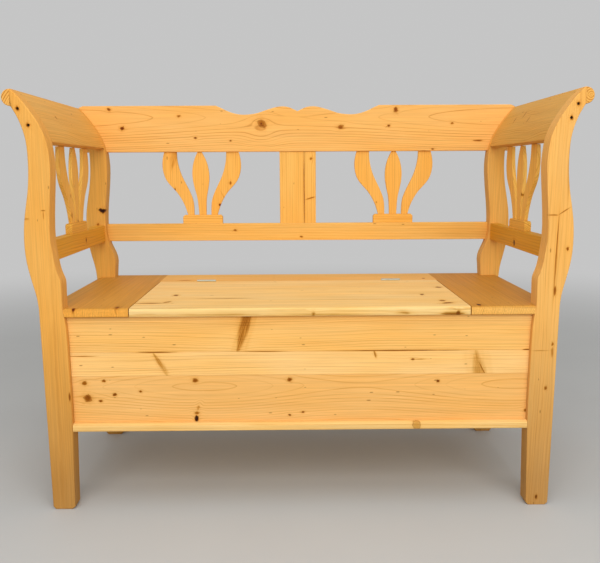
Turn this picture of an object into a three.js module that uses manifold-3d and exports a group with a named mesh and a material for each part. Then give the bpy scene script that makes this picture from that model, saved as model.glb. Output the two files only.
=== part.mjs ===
// A pine settle bench: four S-curved posts, a tulip-splat back and arms, and a
// storage chest under the seat with a hinged lid.
// Millimetres, +Z up. The origin is on the floor in the middle of the bench,
// +X runs along the seat and +Y from the front to the back.
// Left is the -X end, seen by someone who stands in front of the bench.
import * as THREE from "three";
import { mergeVertices } from "three/addons/utils/BufferGeometryUtils.js";
import Module from "manifold-3d";

const wasm = await Module();
wasm.setup();

// The whole bench
const BENCH_WIDTH = 1200; // over both arm rolls
const BENCH_DEPTH = 484; // over the posts
const SEAT_HEIGHT = 450;
const ARM_HEIGHT = 901.5; // top of the posts, arm panels and arm rolls
const BACK_RISE = 7; // of the top rail's upper edge above the arms
const JOINT_GAP = 0.3; // clearance in every glued or screwed joint
const CUT_OVERRUN = 5; // how far a cutting shape runs past the face it cuts

// Posts
const POST_DEPTH = 38;
const ARM_OVERHANG = 48.5; // how far the arms reach out past the legs at the seat
const LEG_WIDTH = 50; // across the front face at the seat
const SHIN_SWELL = 6; // how much further in the leg reaches just below the seat
const FOOT_TAPER = 4.5; // how far the outer edge leans in, from seat to floor
const FOOT_WIDTH = 48.5;
const FOOT_CHAMFER = 6;

// Arms
const ARM_ROLL_WIDTH = 17;
const ARM_ROLL_HEIGHT = 34;
const ARM_PANEL_THICKNESS = 21;
const ARM_PANEL_SLOPE = 5; // fall of its underside from the inner to the outer face
const ARM_PANEL_DROP = 104; // from the top of the arms to its lower inner edge
const SIDE_RAIL_RISE = 97.5; // of its underside above the seat
const SIDE_RAIL_HEIGHT = 44.5;
const SIDE_RAIL_THICKNESS = 24;
const SIDE_RAIL_SETBACK = 5.5; // behind the inner face of the posts

// Back
const RAIL_THICKNESS = 20;
const TOP_RAIL_HEIGHT = 121.5;
const TOP_RAIL_CORNER_WIDTH = 11;
const TOP_RAIL_CORNER_DROP = 4.5;
const SCALLOP_HALF_WIDTH = 218;
const SCALLOP_DEPTH = 24;
const LOWER_RAIL_RISE = 97.5; // of its underside above the seat
const LOWER_RAIL_HEIGHT = 46.5;
const STILE_THICKNESS = 14;
const STILE_LEFT_WIDTH = 66;
const STILE_RIGHT_WIDTH = 32;

// Tulip splats, each of three petals in a base block
const SPLAT_OFFSET = 260; // from the middle of the bench to a back splat
const BACK_SPLAT_WIDTH = 212;
const SIDE_SPLAT_WIDTH = 226;
const PETAL_THICKNESS = 9;
const LEFT_MIDDLE_PETAL_LEAN = -5; // at its tip; the hand-set middle petal isn't quite upright
const BACK_BLOCK_WIDTH = 108;
const SIDE_BLOCK_WIDTH = 118;
const SIDE_SPLAT_SHIFT = 1.5; // outwards from the middle of the side rail
const SPLAT_BLOCK_HEIGHT = 23.5;
const SPLAT_BLOCK_THICKNESS = 16;
const SPLAT_BLOCK_CHAMFER = 5;

// Seat
const SEAT_THICKNESS = 19;
const SEAT_SETBACK = 10; // of the seat's ends behind the outer edges of the legs
const LID_WIDTH = 724;
const LID_SIDE_GAP = 2; // between the lid and each fixed board
const REAR_STRIP_DEPTH = 117.5; // from the hinge line to the back
const LID_REAR_GAP = 2; // between the lid and the rear strip
const NOSE_RADIUS = 7; // on the upper front edges
const NOSE_LOWER_RADIUS = 3; // on the lower front edges
const BATTEN_WIDTH = 45;
const BATTEN_THICKNESS = 18;
const BATTEN_FRONT_CLEARANCE = 18; // behind the front boards
const BATTEN_REAR_CLEARANCE = 48; // in front of the hinge line
const BATTEN_SPACING = 480;

// Chest
const CHEST_FLOOR_BOTTOM = 178;
const CHEST_FLOOR_THICKNESS = 17.5;
const CHEST_PANEL_THICKNESS = 18;
const FRONT_SETBACK = 12; // of the front boards behind the posts' front faces
const FRONT_LOWER_BOARD_HEIGHT = 104;
const FRONT_MIDDLE_BOARD_HEIGHT = 52.5;
const END_SETBACK = 3; // of the end panels behind the edges of the seat
const BACK_SETBACK = 4; // of the back panel behind the posts' rear faces

// Hinges
const HINGE_LENGTH = 49;
const HINGE_SPACING = 484;
const HINGE_RADIUS = 3; // over a knuckle
const HINGE_RISE = 1.5; // of the hinge pin above the seat
const PIN_RADIUS = 1.2;
const PIN_CLEARANCE = 0.1;
const LEAF_THICKNESS = 1.5;
const LEAF_HEIGHT = 15;

// Screws through the post tops into the ends of the arm panels
const SCREW_HEAD_RADIUS = 2.8;
const SCREW_HEAD_HEIGHT = 2;
const SCREW_SHANK_RADIUS = 2;
const SCREW_LENGTH = 56;
const SCREW_COUNTERBORE = 5; // depth of the open hole over the head

// Shares below say where an outline's points lie between named sizes.
// Post edges above the seat: share of the rise to the arm, share of the flare.
// The rear posts bulge a little further in under the lower back rail.
const INNER_EDGE_SHARES = {
  front: [
    [0.05, 0], [0.1, -0.005], [0.13, 0.002], [0.16, 0.063], [0.19, 0.112],
    [0.24, 0.155], [0.33, 0.207], [0.45, 0.184], [0.57, 0.128], [0.65, 0.1],
  ],
  rear: [
    [0.055, -0.02], [0.105, -0.038], [0.15, 0.03], [0.2, 0.155], [0.26, 0.222],
    [0.33, 0.243], [0.42, 0.215], [0.5, 0.167], [0.57, 0.128], [0.65, 0.1],
  ],
};
const ARM_EDGE_SHARES = [
  [0.72, 0.12], [0.785, 0.182], [0.85, 0.335], [0.905, 0.53], [0.955, 0.735], [0.985, 0.895],
];
const OUTER_EDGE_SHARES = [
  [0.06, 0.1], [0.14, 0.38], [0.22, 0.61], [0.3, 0.69], [0.39, 0.63], [0.47, 0.45],
  [0.55, 0.24], [0.63, 0.125], [0.71, 0.105], [0.775, 0.17], [0.83, 0.36], [0.88, 0.64],
];
// Inner edge of the leg below the seat: share of the seat height, share of the swell
const SHIN_SHARES = [[0.44, 1], [0.7, 1.05], [0.88, 0.92], [0.95, 0.5]];
// Upper corner of a post beside the arm roll: share of the flare, share of the roll height
const POST_TIP_SHARE = 0.97;
// Scallop of the top rail: share of its half width, share of its depth
const SCALLOP_SHARES = [
  [0.93, 0.72], [0.86, 0.41], [0.76, 0.11], [0.65, 0], [0.51, 0.13], [0.41, 0.42],
  [0.31, 0.7], [0.24, 0.85], [0.17, 0.89], [0.1, 0.78], [0.04, 0.54],
];
const SCALLOP_NOTCH_SHARE = 0.36;
// Petals: share of the petal height, share of the splat's half width
const OUTER_PETAL_OUTSIDE_SHARES = [
  [0, 0.382], [0.13, 0.445], [0.25, 0.535], [0.37, 0.66], [0.49, 0.835],
  [0.6, 0.945], [0.75, 1], [0.89, 0.99], [1, 0.948],
];
const OUTER_PETAL_INSIDE_SHARES = [
  [0, 0.219], [0.13, 0.222], [0.25, 0.248], [0.37, 0.32], [0.49, 0.412],
  [0.62, 0.512], [0.75, 0.58], [0.88, 0.62], [1, 0.629],
];
const MIDDLE_PETAL_SHARES = [
  [0, 0.092], [0.19, 0.107], [0.3, 0.128], [0.42, 0.172], [0.55, 0.208],
  [0.67, 0.214], [0.79, 0.188], [0.9, 0.133], [1, 0.055],
];
// Screws in the post tops: share of the rise to the arm, share of the inner flare
const FRONT_SCREW_SHARES = {
  left: { upper: [0.9134, 0.82], lower: [0.841, 0.58] },
  right: { upper: [0.925, 0.81], lower: [0.864, 0.655] },
};
const REAR_SCREW_SHARES = { upper: [0.919, 0.815], lower: [0.853, 0.615] };

// Smoothness of the faceted curves
const EDGE_STEPS = 30;
const PETAL_STEPS = 16;
const ROUND_STEPS = 5;
const BARREL_SIDES = 20;

const FRONT = -BENCH_DEPTH / 2;
const BACK = BENCH_DEPTH / 2;
const LEG_OUTER = BENCH_WIDTH / 2 - ARM_OVERHANG;
const LEG_INNER = LEG_OUTER - LEG_WIDTH;
const LEG_MIDDLE = LEG_OUTER - LEG_WIDTH / 2;
const FOOT_OUTER = LEG_OUTER - FOOT_TAPER;
const FOOT_INNER = FOOT_OUTER - FOOT_WIDTH;
const ROLL_INNER = BENCH_WIDTH / 2 - ARM_ROLL_WIDTH;
const POST_TOP_OUTER = ROLL_INNER - JOINT_GAP;
const ARM_RISE = ARM_HEIGHT - SEAT_HEIGHT;
const SEAT_BOTTOM = SEAT_HEIGHT - SEAT_THICKNESS;
const CHEST_FLOOR_TOP = CHEST_FLOOR_BOTTOM + CHEST_FLOOR_THICKNESS;
const SEAT_WIDTH = 2 * (LEG_OUTER - SEAT_SETBACK);
const ARM_PANEL_LOWER_EDGE = ARM_HEIGHT - ARM_PANEL_DROP;
const SIDE_RAIL_BOTTOM = SEAT_HEIGHT + SIDE_RAIL_RISE;
const SIDE_RAIL_TOP = SIDE_RAIL_BOTTOM + SIDE_RAIL_HEIGHT;
const LOWER_RAIL_BOTTOM = SEAT_HEIGHT + LOWER_RAIL_RISE;
const LOWER_RAIL_TOP = LOWER_RAIL_BOTTOM + LOWER_RAIL_HEIGHT;
const BACK_HEIGHT = ARM_HEIGHT + BACK_RISE;
const TOP_RAIL_BOTTOM = BACK_HEIGHT - TOP_RAIL_HEIGHT;
const RAIL_FRONT = BACK - RAIL_THICKNESS;
const RAIL_MIDDLE = BACK - RAIL_THICKNESS / 2;
const CHEST_FRONT = FRONT + FRONT_SETBACK + CHEST_PANEL_THICKNESS; // inside the chest
const HINGE_LINE = BACK - REAR_STRIP_DEPTH;
const HINGE_HEIGHT = SEAT_HEIGHT + HINGE_RISE;

const SIDES = { left: -1, right: 1 };

const bench = new THREE.Group();

const pine = new THREE.MeshStandardMaterial({ color: 0xf0b268, roughness: 0.45 });
const palePine = new THREE.MeshStandardMaterial({ color: 0xf6c98a, roughness: 0.45 });
const deepPine = new THREE.MeshStandardMaterial({ color: 0xd0954e, roughness: 0.5 });
const plainPine = new THREE.MeshStandardMaterial({ color: 0xe2b87e, roughness: 0.6 });
const zincSteel = new THREE.MeshStandardMaterial({ color: 0xc4c6bd, roughness: 0.35, metalness: 1 });
const darkSteel = new THREE.MeshStandardMaterial({ color: 0x2c2420, roughness: 0.5, metalness: 1 });

function addPiece(name, geometry, material) {
  const mesh = new THREE.Mesh(geometry, material);
  mesh.name = name;
  bench.add(mesh);
}

// Solids and cuts

function solid(geometry) {
  const bare = geometry.clone();
  bare.deleteAttribute("normal");
  bare.deleteAttribute("uv");
  const merged = mergeVertices(bare);
  return new wasm.Manifold(new wasm.Mesh({
    numProp: 3,
    vertProperties: new Float32Array(merged.attributes.position.array),
    triVerts: new Uint32Array(merged.index.array),
  }));
}

function shell(body) {
  const mesh = body.getMesh();
  const geometry = new THREE.BufferGeometry();
  geometry.setAttribute("position", new THREE.BufferAttribute(mesh.vertProperties, 3));
  geometry.setIndex(new THREE.BufferAttribute(mesh.triVerts, 1));
  geometry.computeVertexNormals();
  return geometry;
}

function cut(geometry, tools) {
  const body = tools.reduce((rest, tool) => rest.subtract(solid(tool)), solid(geometry));
  return shell(body);
}

function joined(geometries) {
  return shell(geometries.map(solid).reduce((all, next) => all.add(next)));
}

// A board or box between two corners
function board([x0, x1], [y0, y1], [z0, z1]) {
  const geometry = new THREE.BoxGeometry(Math.abs(x1 - x0), Math.abs(y1 - y0), Math.abs(z1 - z0));
  return geometry.translate((x0 + x1) / 2, (y0 + y1) / 2, (z0 + z1) / 2);
}

// An outline seen from the front, cut out of a board that is y0 to y1 deep
function frontOutline(points, [y0, y1]) {
  const options = { depth: y1 - y0, bevelEnabled: false };
  const geometry = new THREE.ExtrudeGeometry(new THREE.Shape(points), options);
  const frontView = new THREE.Matrix4().makeBasis(
    new THREE.Vector3(1, 0, 0),
    new THREE.Vector3(0, 0, 1),
    new THREE.Vector3(0, -1, 0),
  );
  return geometry.applyMatrix4(frontView).translate(0, y1, 0);
}

// An outline seen from the end of the bench, drawn out from x0 to x1
function endOutline(points, [x0, x1]) {
  const options = { depth: x1 - x0, bevelEnabled: false };
  const geometry = new THREE.ExtrudeGeometry(new THREE.Shape(points), options);
  const endView = new THREE.Matrix4().makeBasis(
    new THREE.Vector3(0, 1, 0),
    new THREE.Vector3(0, 0, 1),
    new THREE.Vector3(1, 0, 0),
  );
  return geometry.applyMatrix4(endView).translate(x0, 0, 0);
}

function smooth(points, steps) {
  return new THREE.SplineCurve(points.map(([x, z]) => new THREE.Vector2(x, z))).getPoints(steps);
}

function toSide(points, side) {
  return points.map((point) => new THREE.Vector2(side * point.x, point.y));
}

// A cylinder along X
function barrel(radius, [x0, x1], y, z) {
  const geometry = new THREE.CylinderGeometry(radius, radius, x1 - x0, BARREL_SIDES);
  return geometry.rotateZ(Math.PI / 2).translate((x0 + x1) / 2, y, z);
}

// Posts

// The inner edge of a post above the seat, which the arm panel follows
function innerEdge(row) {
  const flare = POST_TOP_OUTER - LEG_INNER;
  const points = [...INNER_EDGE_SHARES[row], ...ARM_EDGE_SHARES].map(([rise, out]) => [
    LEG_INNER + out * flare,
    SEAT_HEIGHT + rise * ARM_RISE,
  ]);
  return smooth([[LEG_INNER, SEAT_HEIGHT], ...points, postTip()], EDGE_STEPS);
}

function postTip() {
  return [LEG_INNER + POST_TIP_SHARE * (POST_TOP_OUTER - LEG_INNER), ARM_HEIGHT];
}

function shinEdge() {
  const points = SHIN_SHARES.map(([height, swell]) => {
    const straight = FOOT_INNER + (LEG_INNER - FOOT_INNER) * height;
    return [straight - swell * SHIN_SWELL, SEAT_HEIGHT * height];
  });
  return smooth([[FOOT_INNER, FOOT_CHAMFER], ...points, [LEG_INNER, SEAT_HEIGHT]], PETAL_STEPS);
}

function outerEdge() {
  const flare = POST_TOP_OUTER - LEG_OUTER;
  const points = OUTER_EDGE_SHARES.map(([rise, out]) => [
    LEG_OUTER + out * flare,
    SEAT_HEIGHT + rise * ARM_RISE,
  ]);
  const underRoll = [POST_TOP_OUTER, ARM_HEIGHT - ARM_ROLL_HEIGHT];
  return smooth([[LEG_OUTER, SEAT_HEIGHT], ...points, underRoll], EDGE_STEPS);
}

function postOutline(row) {
  return [
    new THREE.Vector2(FOOT_INNER + FOOT_CHAMFER, 0),
    ...shinEdge(),
    ...innerEdge(row).slice(1),
    new THREE.Vector2(POST_TOP_OUTER, ARM_HEIGHT),
    ...outerEdge().reverse(),
    new THREE.Vector2(FOOT_OUTER, FOOT_CHAMFER),
    new THREE.Vector2(FOOT_OUTER - FOOT_CHAMFER, 0),
  ];
}

function postGeometry(side, row) {
  const depth = row === "front" ? [FRONT, FRONT + POST_DEPTH] : [BACK - POST_DEPTH, BACK];
  return frontOutline(toSide(postOutline(row), side), depth);
}

// The room that a neighbour leaves for a post: the post itself, grown by the joint gap
function postRoom(side, row) {
  const outline = postOutline(row);
  const shifted = [-JOINT_GAP, JOINT_GAP].map((shift) =>
    outline.map((point) => new THREE.Vector2(point.x + shift, point.y)));
  const depth = row === "front"
    ? [FRONT - CUT_OVERRUN, FRONT + POST_DEPTH + JOINT_GAP]
    : [BACK - POST_DEPTH - JOINT_GAP, BACK + CUT_OVERRUN];
  return joined(shifted.map((points) => frontOutline(toSide(points, side), depth)));
}

function allPostRooms() {
  return Object.values(SIDES).flatMap((side) => [postRoom(side, "front"), postRoom(side, "rear")]);
}

// The top rail lies in a rebate across the backs of the rear posts
function topRailRoom() {
  return board(
    [-BENCH_WIDTH / 2, BENCH_WIDTH / 2],
    [RAIL_FRONT - JOINT_GAP, BACK + CUT_OVERRUN],
    [TOP_RAIL_BOTTOM - JOINT_GAP, BACK_HEIGHT + CUT_OVERRUN],
  );
}

function posts() {
  for (const [end, side] of Object.entries(SIDES)) {
    const front = cut(postGeometry(side, "front"), screwHoles(end, "front"));
    addPiece(`${end}_front_post`, front, pine);
    const rear = cut(postGeometry(side, "rear"), [topRailRoom(), ...screwHoles(end, "rear")]);
    addPiece(`${end}_rear_post`, rear, pine);
  }
}

// Screws

function screwPlaces(end, row) {
  const shares = row === "front" ? FRONT_SCREW_SHARES[end] : REAR_SCREW_SHARES;
  return Object.entries(shares).map(([level, [rise, out]]) => ({
    level,
    x: SIDES[end] * (LEG_INNER + out * (POST_TOP_OUTER - LEG_INNER)),
    z: SEAT_HEIGHT + rise * ARM_RISE,
  }));
}

// A screw and its hole point along +Y from the face of the wood at zero
function screwSolid(room, start) {
  const head = SCREW_HEAD_RADIUS + room;
  const shank = SCREW_SHANK_RADIUS + room;
  const underHead = SCREW_COUNTERBORE + SCREW_HEAD_HEIGHT + room;
  const tip = SCREW_COUNTERBORE + SCREW_LENGTH + room;
  const profile = [
    new THREE.Vector2(0, start),
    new THREE.Vector2(head, start),
    new THREE.Vector2(head, underHead),
    new THREE.Vector2(shank, underHead + head - shank),
    new THREE.Vector2(shank, tip - 2 * shank),
    new THREE.Vector2(0, tip),
  ];
  return new THREE.LatheGeometry(profile, BARREL_SIDES);
}

function placeScrew(geometry, row, x, z) {
  if (row === "front") return geometry.translate(x, FRONT, z);
  return geometry.rotateX(Math.PI).translate(x, BACK, z);
}

function screwHoles(end, row) {
  return screwPlaces(end, row).map(({ x, z }) =>
    placeScrew(screwSolid(JOINT_GAP, -CUT_OVERRUN), row, x, z));
}

function screws() {
  for (const end of Object.keys(SIDES)) {
    for (const row of ["front", "rear"]) {
      for (const { level, x, z } of screwPlaces(end, row)) {
        const screw = placeScrew(screwSolid(0, SCREW_COUNTERBORE), row, x, z);
        addPiece(`${end}_${row}_${level}_screw`, screw, darkSteel);
      }
    }
  }
}

// Arms

// Points of the inner edge from the arm panel's lower edge up
function panelInnerFace() {
  const edge = innerEdge("front");
  const above = edge.filter((point) => point.y > ARM_PANEL_LOWER_EDGE);
  const below = edge[edge.length - above.length - 1];
  const share = (ARM_PANEL_LOWER_EDGE - below.y) / (above[0].y - below.y);
  return [below.clone().lerp(above[0], share), ...above];
}

// The panel's outer face follows its inner face, one thickness further out
function panelOuterFace() {
  const across = new THREE.Vector2(ARM_PANEL_THICKNESS, -ARM_PANEL_SLOPE);
  return panelInnerFace().map((point) => point.clone().add(across));
}

// Height of the panel's sloping underside at a distance x from the middle of the bench
function panelUnderside(x) {
  const inner = panelInnerFace()[0];
  const outer = panelOuterFace()[0];
  return inner.y + ((x - inner.x) / (outer.x - inner.x)) * (outer.y - inner.y);
}

function armPanels() {
  for (const [end, side] of Object.entries(SIDES)) {
    const outerFace = panelOuterFace().reverse();
    const topCorner = new THREE.Vector2(outerFace[0].x, ARM_HEIGHT);
    const outline = [...panelInnerFace(), topCorner, ...outerFace];
    const depth = [FRONT + POST_DEPTH + JOINT_GAP, BACK - POST_DEPTH - JOINT_GAP];
    const panel = frontOutline(toSide(outline, side), depth);
    const outsideRoll = board(
      [side * POST_TOP_OUTER, side * BENCH_WIDTH],
      [FRONT, BACK],
      [0, ARM_HEIGHT + CUT_OVERRUN],
    );
    const holes = [...screwHoles(end, "front"), ...screwHoles(end, "rear")];
    addPiece(`${end}_arm_panel`, cut(panel, [outsideRoll, ...holes]), pine);
  }
}

// A half-round strip on the outside of the post tops
function armRolls() {
  const middle = ARM_HEIGHT - ARM_ROLL_HEIGHT / 2;
  const round = Array.from({ length: PETAL_STEPS + 1 }, (_, step) => {
    const angle = Math.PI * (step / PETAL_STEPS - 1 / 2);
    return new THREE.Vector2(
      ROLL_INNER + ARM_ROLL_WIDTH * Math.cos(angle),
      middle + (ARM_ROLL_HEIGHT / 2) * Math.sin(angle),
    );
  });
  for (const [end, side] of Object.entries(SIDES)) {
    addPiece(`${end}_arm_roll`, frontOutline(toSide(round, side), [FRONT, BACK]), pine);
  }
}

function postInnerAt(height) {
  const edge = innerEdge("front");
  const above = edge.findIndex((point) => point.y > height);
  const share = (height - edge[above - 1].y) / (edge[above].y - edge[above - 1].y);
  return edge[above - 1].x + share * (edge[above].x - edge[above - 1].x);
}

const SIDE_RAIL_INNER = postInnerAt(SIDE_RAIL_TOP) + SIDE_RAIL_SETBACK;

function sideRails() {
  for (const [end, side] of Object.entries(SIDES)) {
    const rail = board(
      [side * SIDE_RAIL_INNER, side * (SIDE_RAIL_INNER + SIDE_RAIL_THICKNESS)],
      [FRONT + POST_DEPTH + JOINT_GAP, BACK - POST_DEPTH - JOINT_GAP],
      [SIDE_RAIL_BOTTOM, SIDE_RAIL_TOP],
    );
    addPiece(`${end}_side_rail`, rail, pine);
  }
}

// Tulip splats

function petalOutlines(halfWidth, height, lean) {
  const edge = (shares, side) =>
    smooth(shares.map(([up, out]) => [side * out * halfWidth, up * height]), PETAL_STEPS);
  const outer = (side) => [
    ...edge(OUTER_PETAL_OUTSIDE_SHARES, side),
    ...edge(OUTER_PETAL_INSIDE_SHARES, side).reverse(),
  ];
  const middle = [...edge(MIDDLE_PETAL_SHARES, 1), ...edge(MIDDLE_PETAL_SHARES, -1).reverse()];
  middle.forEach((point) => {
    point.x += (lean * point.y) / height;
  });
  return { first: outer(-1), middle, last: outer(1) };
}

function blockOutline(width) {
  const half = width / 2;
  const shoulder = SPLAT_BLOCK_HEIGHT - SPLAT_BLOCK_CHAMFER;
  return [
    new THREE.Vector2(-half, 0),
    new THREE.Vector2(half, 0),
    new THREE.Vector2(half, shoulder),
    new THREE.Vector2(half - SPLAT_BLOCK_CHAMFER, SPLAT_BLOCK_HEIGHT),
    new THREE.Vector2(SPLAT_BLOCK_CHAMFER - half, SPLAT_BLOCK_HEIGHT),
    new THREE.Vector2(-half, shoulder),
  ];
}

// A splat stands on its rail, centred on y zero, and is placed by the caller
function splat(name, { width, blockWidth, lean }, bottom, top, place) {
  const petalBottom = bottom + SPLAT_BLOCK_HEIGHT + JOINT_GAP;
  const outlines = petalOutlines(width / 2, top - petalBottom, lean);
  const petalDepth = [-PETAL_THICKNESS / 2, PETAL_THICKNESS / 2];
  const blockDepth = [-SPLAT_BLOCK_THICKNESS / 2, SPLAT_BLOCK_THICKNESS / 2];
  for (const [which, outline] of Object.entries(outlines)) {
    const petal = frontOutline(outline, petalDepth).translate(0, 0, petalBottom);
    addPiece(`${name}_${which}_petal`, place(petal), pine);
  }
  const block = frontOutline(blockOutline(blockWidth), blockDepth).translate(0, 0, bottom);
  addPiece(`${name}_block`, place(block), pine);
}

function backSplats() {
  for (const [end, side] of Object.entries(SIDES)) {
    const place = (piece) => piece.translate(side * SPLAT_OFFSET, RAIL_MIDDLE, 0);
    const lean = end === "left" ? LEFT_MIDDLE_PETAL_LEAN : 0;
    const shape = { width: BACK_SPLAT_WIDTH, blockWidth: BACK_BLOCK_WIDTH, lean };
    const bottom = LOWER_RAIL_TOP + JOINT_GAP;
    splat(`${end}_back_splat`, shape, bottom, TOP_RAIL_BOTTOM - JOINT_GAP, place);
  }
}

function sideSplats() {
  const middle = SIDE_RAIL_INNER + SIDE_RAIL_THICKNESS / 2 + SIDE_SPLAT_SHIFT;
  const shape = { width: SIDE_SPLAT_WIDTH, blockWidth: SIDE_BLOCK_WIDTH, lean: 0 };
  const top = panelUnderside(middle + PETAL_THICKNESS / 2) - JOINT_GAP;
  for (const [end, side] of Object.entries(SIDES)) {
    const place = (piece) => piece.rotateZ(Math.PI / 2).translate(side * middle, 0, 0);
    splat(`${end}_side_splat`, shape, SIDE_RAIL_TOP + JOINT_GAP, top, place);
  }
}

// Back rails and stile

function scallopEdge() {
  const points = SCALLOP_SHARES.map(([along, up]) => [
    along * SCALLOP_HALF_WIDTH,
    BACK_HEIGHT - SCALLOP_DEPTH * (1 - up),
  ]);
  const notch = [0, BACK_HEIGHT - SCALLOP_DEPTH * (1 - SCALLOP_NOTCH_SHARE)];
  return smooth([[SCALLOP_HALF_WIDTH, BACK_HEIGHT], ...points, notch], EDGE_STEPS);
}

function topRail() {
  const half = POST_TOP_OUTER;
  const rightEdge = scallopEdge();
  const leftEdge = toSide(rightEdge, -1).reverse();
  const outline = [
    new THREE.Vector2(-half, TOP_RAIL_BOTTOM),
    new THREE.Vector2(half, TOP_RAIL_BOTTOM),
    new THREE.Vector2(half, BACK_HEIGHT - TOP_RAIL_CORNER_DROP),
    new THREE.Vector2(half - TOP_RAIL_CORNER_WIDTH, BACK_HEIGHT),
    ...rightEdge,
    ...leftEdge.slice(1),
    new THREE.Vector2(TOP_RAIL_CORNER_WIDTH - half, BACK_HEIGHT),
    new THREE.Vector2(-half, BACK_HEIGHT - TOP_RAIL_CORNER_DROP),
  ];
  const rail = frontOutline(outline, [RAIL_FRONT, BACK]);
  const holes = Object.keys(SIDES).flatMap((end) => screwHoles(end, "rear"));
  addPiece("top_back_rail", cut(rail, holes), pine);
}

function lowerRail() {
  const rail = board(
    [-LEG_MIDDLE, LEG_MIDDLE],
    [RAIL_FRONT, BACK],
    [LOWER_RAIL_BOTTOM, LOWER_RAIL_TOP],
  );
  addPiece("lower_back_rail", cut(rail, allPostRooms()), pine);
}

// Two strips glued side by side
function stile() {
  const left = -(STILE_LEFT_WIDTH + STILE_RIGHT_WIDTH) / 2;
  const split = left + STILE_LEFT_WIDTH;
  const depth = [RAIL_MIDDLE - STILE_THICKNESS / 2, RAIL_MIDDLE + STILE_THICKNESS / 2];
  const height = [LOWER_RAIL_TOP + JOINT_GAP, TOP_RAIL_BOTTOM - JOINT_GAP];
  addPiece("stile_left_strip", board([left, split - JOINT_GAP], depth, height), pine);
  addPiece("stile_right_strip", board([split, split + STILE_RIGHT_WIDTH], depth, height), pine);
}

// Seat

// End view of a board whose front edge is rounded into a nose
function noseOutline(front, back, bottom, top) {
  const arc = (radius, y, z, start) => Array.from({ length: ROUND_STEPS + 1 }, (_, step) => {
    const angle = start - (Math.PI / 2) * (step / ROUND_STEPS);
    return new THREE.Vector2(y + radius * Math.cos(angle), z + radius * Math.sin(angle));
  });
  const lower = NOSE_LOWER_RADIUS;
  return [
    new THREE.Vector2(back, bottom),
    ...arc(lower, front + lower, bottom + lower, -Math.PI / 2),
    ...arc(NOSE_RADIUS, front + NOSE_RADIUS, top - NOSE_RADIUS, Math.PI),
    new THREE.Vector2(back, top),
  ];
}

function seatBoards() {
  const inner = LID_WIDTH / 2 + LID_SIDE_GAP;
  const outline = noseOutline(FRONT, BACK, SEAT_BOTTOM, SEAT_HEIGHT);
  for (const [end, side] of Object.entries(SIDES)) {
    const across = [side * inner, side * (SEAT_WIDTH / 2)].sort((a, b) => a - b);
    const seat = cut(endOutline(outline, across), [postRoom(side, "front"), postRoom(side, "rear")]);
    addPiece(`${end}_seat_board`, seat, deepPine);
  }
  const strip = board(
    [JOINT_GAP - inner, inner - JOINT_GAP],
    [HINGE_LINE + LID_REAR_GAP / 2, BACK],
    [SEAT_BOTTOM, SEAT_HEIGHT],
  );
  addPiece("rear_seat_strip", cut(strip, hingeRooms()), palePine);
}

function lid() {
  const outline = noseOutline(FRONT, HINGE_LINE - LID_REAR_GAP / 2, SEAT_BOTTOM, SEAT_HEIGHT);
  const panel = endOutline(outline, [-LID_WIDTH / 2, LID_WIDTH / 2]);
  addPiece("lid", cut(panel, hingeRooms()), palePine);
  const ends = [CHEST_FRONT + BATTEN_FRONT_CLEARANCE, HINGE_LINE - BATTEN_REAR_CLEARANCE];
  for (const [end, side] of Object.entries(SIDES)) {
    const x = (side * BATTEN_SPACING) / 2;
    const batten = board(
      [x - BATTEN_WIDTH / 2, x + BATTEN_WIDTH / 2],
      ends,
      [SEAT_BOTTOM - JOINT_GAP - BATTEN_THICKNESS, SEAT_BOTTOM - JOINT_GAP],
    );
    addPiece(`${end}_lid_batten`, batten, plainPine);
  }
}

// Hinges: two butt hinges with three knuckles each

function hingeStarts() {
  return Object.entries(SIDES).map(([end, side]) => ({
    end,
    start: (side * HINGE_SPACING - HINGE_LENGTH) / 2,
  }));
}

// The knuckles stand over the seat and the leaves lie in the two edges below
function hingeRooms() {
  return hingeStarts().flatMap(({ start }) => {
    const along = [start - JOINT_GAP, start + HINGE_LENGTH + JOINT_GAP];
    const leaves = LEAF_THICKNESS + 2 * JOINT_GAP;
    return [
      barrel(HINGE_RADIUS + JOINT_GAP, along, HINGE_LINE, HINGE_HEIGHT),
      board(
        along,
        [HINGE_LINE - leaves, HINGE_LINE + leaves],
        [SEAT_HEIGHT - LEAF_HEIGHT - JOINT_GAP, SEAT_HEIGHT + CUT_OVERRUN],
      ),
    ];
  });
}

// A leaf lies on the side of the hinge line given by facing, with knuckles where it has thirds
function hingeLeaf(start, facing, thirds) {
  const third = HINGE_LENGTH / 3;
  const knuckles = thirds.map((count) => [
    start + count * third + (count === 0 ? 0 : JOINT_GAP / 2),
    start + (count + 1) * third - (count === 2 ? 0 : JOINT_GAP / 2),
  ]);
  const inside = JOINT_GAP / 2;
  const faces = [
    HINGE_LINE + facing * inside,
    HINGE_LINE + facing * (inside + LEAF_THICKNESS),
  ];
  const plate = board(
    [start, start + HINGE_LENGTH],
    faces,
    [SEAT_HEIGHT - LEAF_HEIGHT, HINGE_HEIGHT - HINGE_RADIUS - JOINT_GAP],
  );
  const webs = knuckles.map((along) =>
    board(along, faces, [HINGE_HEIGHT - HINGE_RADIUS - CUT_OVERRUN, HINGE_HEIGHT]));
  const tubes = knuckles.map((along) => barrel(HINGE_RADIUS, along, HINGE_LINE, HINGE_HEIGHT));
  const bore = barrel(
    PIN_RADIUS + PIN_CLEARANCE,
    [start - CUT_OVERRUN, start + HINGE_LENGTH + CUT_OVERRUN],
    HINGE_LINE,
    HINGE_HEIGHT,
  );
  return cut(joined([plate, ...webs, ...tubes]), [bore]);
}

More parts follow.
